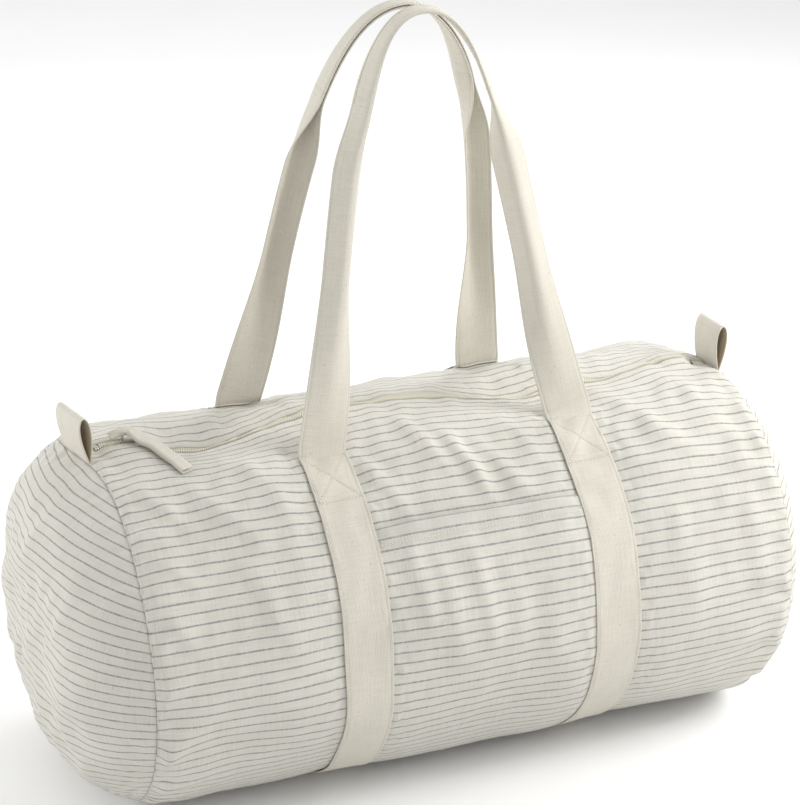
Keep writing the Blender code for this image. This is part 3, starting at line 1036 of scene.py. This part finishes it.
def zip_stop(name):
    """The metal clamp over the coil's end: two fat crimps across both rows."""
    middle = (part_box(name)[0].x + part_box(name)[1].x) / 2
    bars = []
    for x in (middle - 0.0007, middle + 0.0007):
        bars.append(zip_line(x, CRIMP_Y, CRIMP_LIFTS))
    mesh = tooth_mesh(name + "_crimp", bars, CRIMP_RADIUS)
    obj = new_object(name + "_crimp", mesh, METAL)
    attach(obj, "root")
    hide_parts(name)


def zip_stitching():
    rows = []
    x = np.linspace(-SEWN_REACH, SEWN_REACH, 400)
    for y in (-TAPE_WIDTH, TAPE_WIDTH):
        rows.append(zip_line(x, y, 0.0001))
    obj = stitches("zip_stitching", rows, THREAD, length=0.0021, pitch=0.0029)
    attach(obj, "root")


# ---- puller and end loops


def puller_route():
    """The puller's middle line: bunched over the slider, then lying along the body."""
    low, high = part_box("zip_puller")
    bridge_low, bridge_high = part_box("slider_bridge")
    bridge = np.array([(bridge_low.x + bridge_high.x) / 2, 0.0, bridge_high.z + 0.0008])
    root = bridge + np.array([-PULLER_TAIL, 0.0010, -0.0028])
    tip = np.array([high.x - 0.0085, low.y - 0.0040, 0.0])
    tail_shares = np.linspace(0, 1, 18, endpoint=False)[:, None]
    tail = root + (bridge - root) * tail_shares
    tail[:, 2] += 0.0012 * np.sin(math.pi * tail_shares[:, 0])
    shares = np.linspace(0, 1, 60)
    line = bridge + (tip - bridge) * shares[:, None]
    line[:, 0] += 0.0030 * np.sin(math.pi * shares)
    angles = np.arcsin(np.clip(-line[:, 1] / HALF_WIDTH, 0, 1))
    resting = skin(line[:, 0], angles, 0.0036)[0][:, 2]
    arch = bridge[2] + (resting[-1] - bridge[2]) * smooth(0.0, 0.5, shares)
    line[:, 2] = np.maximum(arch + 0.0030 * np.sin(math.pi * shares) ** 2, resting)
    return np.concatenate([tail, line]), bridge


def puller_section(bunched, travelled):
    """The folded strip at one place: its ring of (across, up) offsets and thread columns."""
    fine = np.linspace(-PULLER_CUT / 2, PULLER_CUT / 2, 201)
    columns = np.linspace(-PULLER_CUT / 2, PULLER_CUT / 2, 25)
    fold = 0.0026 + 0.0005 * math.sin(160 * travelled)
    heading = math.pi * np.clip((fine + fold) / (2 * fold), 0, 1) - math.pi / 2
    heading = heading + 0.75 * bunched * np.sin(1300 * fine + 420 * travelled)
    step = fine[1] - fine[0]
    across = -np.cumsum(np.sin(heading)) * step
    up = np.cumsum(np.cos(heading)) * step
    across = (across - across.mean()) * (1 - 0.25 * bunched)
    up = up - up.mean()
    across, up, turn = (np.interp(columns, fine, values) for values in (across, up, heading))
    half = PULLER_CANVAS / 2
    outer = np.stack([across + half * np.cos(turn), up + half * np.sin(turn)], -1)
    inner = np.stack([across - half * np.cos(turn), up - half * np.sin(turn)], -1)
    return np.concatenate([outer, inner[::-1]]), np.concatenate([columns, columns[::-1]])


def puller():
    """A strip of cotton folded lengthwise, bunched where the slider's wire holds it."""
    line, bridge = puller_route()
    along = unit(np.gradient(line, axis=0))
    across = unit(np.cross(along, (0.0, 0.0, 1.0)))
    up = np.cross(across, along)
    travelled = distances_along(line)
    rows, weaves = [], []
    for i, centre in enumerate(line):
        bunched = 1 - float(smooth(0.010, PULLER_TAIL + 0.010, travelled[i]))
        ring, columns = puller_section(bunched, travelled[i])
        rows.append(centre + ring[:, :1] * across[i] + ring[:, 1:] * up[i])
        weaves.append(np.stack([columns, np.full(len(columns), travelled[i])], -1))
    obj = strip("puller_cloth", np.stack(rows), np.stack(weaves), STRAP_CLOTH)
    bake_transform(obj)
    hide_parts("zip_puller")


def loop_axes(side):
    """Where a loop stands on its seam, and its directions: across, along the bag, up."""
    reach = STRAP_WIDTH / 2 / HALF_WIDTH
    corners, _ = skin(side * (SEAM_X - 0.001), np.array([reach, -reach]), -0.0015)
    across = (corners[1] - corners[0]) / np.linalg.norm(corners[1] - corners[0])
    along = np.cross(across, (0.0, 0.0, 1.0))
    along /= np.linalg.norm(along)
    return corners.mean(0), across, along, np.cross(along, across)


def loop_route(side):
    """The loop's drop shape, from one foot over the top to the other: (along, up)."""
    turns = np.linspace(0, 2 * math.pi, 61)
    tall = LOOP_HEIGHT * (1 - np.cos(turns)) / 2
    wide = LOOP_BULGE * np.sin(turns) * np.sin(turns / 2) ** 1.1 * 1.25
    lean = LOOP_LEAN * side * tall
    return np.stack([wide + lean, tall], -1)


def loop_ring():
    """The webbing's outline in a loop: places across it and height of the face there."""
    rim = np.array([1.0, 0.985, 0.93, 0.885, 0.84, 0.5])
    rim_height = np.array([0.3, 0.8, 1.0, 0.7, 1.0, 1.0])
    columns = np.concatenate([rim, [0.0], -rim[::-1]]) * (STRAP_WIDTH / 2)
    heights = np.concatenate([rim_height, [1.0], rim_height[::-1]]) * STRAP_THICKNESS / 2
    return np.concatenate([columns, columns[::-1]]), np.concatenate([heights, -heights[::-1]])


def end_loop(name, side):
    """A short end of strap folded into a drop-shaped loop that stands on the seam."""
    base, across, along, up = loop_axes(side)
    route = loop_route(side)
    tangent = np.gradient(route, axis=0)
    tangent /= np.linalg.norm(tangent, axis=1)[:, None] + 1e-9
    normal = np.stack([tangent[:, 1], -tangent[:, 0]], -1)
    columns, heights = loop_ring()
    flat = route[:, None, :] + normal[:, None, :] * heights[None, :, None]
    points = base + flat[..., :1] * along + flat[..., 1:] * up + columns[None, :, None] * across
    travelled = distances_along(route)
    # The inner faces get a tint share of 1, which the webbing's finish turns into painted warm shade.
    inside = (heights < 0).astype(float)
    weave = np.stack(np.broadcast_arrays(columns, travelled[:, None], inside), -1)
    obj = strip(name + "_loop_strap", points, weave, STRAP_CLOTH)
    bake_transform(obj)
    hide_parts(name + "_end_loop")


def seam_roll(name, side):
    """The rolled edge of canvas that shows along the seam."""
    turns = np.linspace(0, 2 * math.pi, 9)[:-1]
    grid_turn, grid_angle = np.meshgrid(turns, ROW_ANGLES)
    wobble = 1 + 0.22 * PUCKERS.at(side, HALF_WIDTH * grid_angle)
    place = side * (SEAM_X - 0.0006)
    x = place + 0.0006 * wobble * np.cos(grid_turn)
    points, normals = skin(place, grid_angle, -0.0006)
    points = points + normals * (0.0007 * wobble * np.sin(grid_turn))[..., None]
    points[..., 0] += x - place
    weave = np.stack([0.0009 * grid_turn, arc(grid_angle)], -1)
    obj = strip(name, points, weave, STRAP_CLOTH)
    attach(obj, "root")


def seam_tape(name, side):
    """The tape that binds the raw edges inside the seam."""
    angles = np.linspace(0, 2 * math.pi, 181)[:-1]
    x = side * np.linspace(SEAM_X - 0.0130, SEAM_X - 0.0015, 5)
    grid_angle, grid_x = np.meshgrid(angles, x)
    points, _ = skin(grid_x, grid_angle, -0.0016)
    weave = np.stack([grid_x, arc(grid_angle)], -1)
    mesh = grid_mesh(name, points, weave, ring=True)
    obj = new_object(name, mesh, BINDING)
    fix_normals(obj)
    solidify(obj, TAPE_THICKNESS)
    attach(obj, "root")
    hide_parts(name.replace("_tape", "_binding"))


# ---- stage


def stand(name, data, target, azimuth, elevation, distance):
    """Adds a camera or lamp that looks at target. At azimuth 0 it stands in front of the bag."""
    level = math.cos(elevation)
    back = Vector((math.sin(azimuth) * level, -math.cos(azimuth) * level, math.sin(elevation)))
    obj = bpy.data.objects.new(name, data)
    bpy.context.scene.collection.objects.link(obj)
    obj.location = target + back * distance
    obj.rotation_euler = back.to_track_quat("Z", "Y").to_euler()
    return obj


def add_camera():
    data = bpy.data.cameras.new("camera")
    data.sensor_fit = "HORIZONTAL"
    data.sensor_width = 36.0
    data.lens = CAMERA_LENS
    place = (CAMERA_TARGET, CAMERA_AZIMUTH, CAMERA_ELEVATION, CAMERA_DISTANCE)
    bpy.context.scene.camera = stand("camera", data, *place)


def add_light(name, azimuth, elevation, distance, size, power):
    data = bpy.data.lights.new(name, "AREA")
    data.shape = "SQUARE"
    data.size = size
    data.energy = power
    stand(name, data, LIT_POINT, math.radians(azimuth), math.radians(elevation), distance)


def add_stage():
    mesh = bpy.data.meshes.new("floor")
    corners = [(a * FLOOR_REACH, b * FLOOR_REACH, 0) for a, b in ((-1, -1), (1, -1), (1, 1), (-1, 1))]
    mesh.from_pydata(corners, [], [(0, 1, 2, 3)])
    mesh.materials.append(FLOOR)
    floor = bpy.data.objects.new("floor", mesh)
    bpy.context.scene.collection.objects.link(floor)
    world = bpy.data.worlds.new("studio")
    world.use_nodes = True
    sky = world.node_tree.nodes["Background"]
    sky.inputs["Color"].default_value = (1, 1, 1, 1)
    sky.inputs["Strength"].default_value = SKY_STRENGTH
    bpy.context.scene.world = world
    for name, settings in LIGHTS.items():
        add_light(name, *settings)
    bpy.context.scene.view_settings.view_transform = "Standard"


def refinish(names, material):
    """A better finish for CAD nodes that keep their shape."""
    for name in names:
        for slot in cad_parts[name].material_slots:
            slot.material = material


add_camera()
add_stage()
barrel()
for place, way, depth in (("left", -1, LEFT_DOME), ("right", 1, RIGHT_DOME)):
    end_panel(place + "_end_skin", way, depth)
    band(place + "_strap", way)
    end_loop(place, way)
    seam_tape(place + "_seam_tape", way)
    seam_roll(place + "_seam_roll", way)
    zip_stop(place + "_zip_stop")
strap_stitching()
pocket()
pocket_stitching()
for place, way in (("front", -1), ("back", 1)):
    handle(place, way)
    handle_stitching(place, way)
    zip_tape(place + "_tape_cloth", way)
    zip_coil(place + "_coil_teeth", way)
zip_stitching()
puller()
refinish(("zip_slider", "slider_bridge"), METAL)
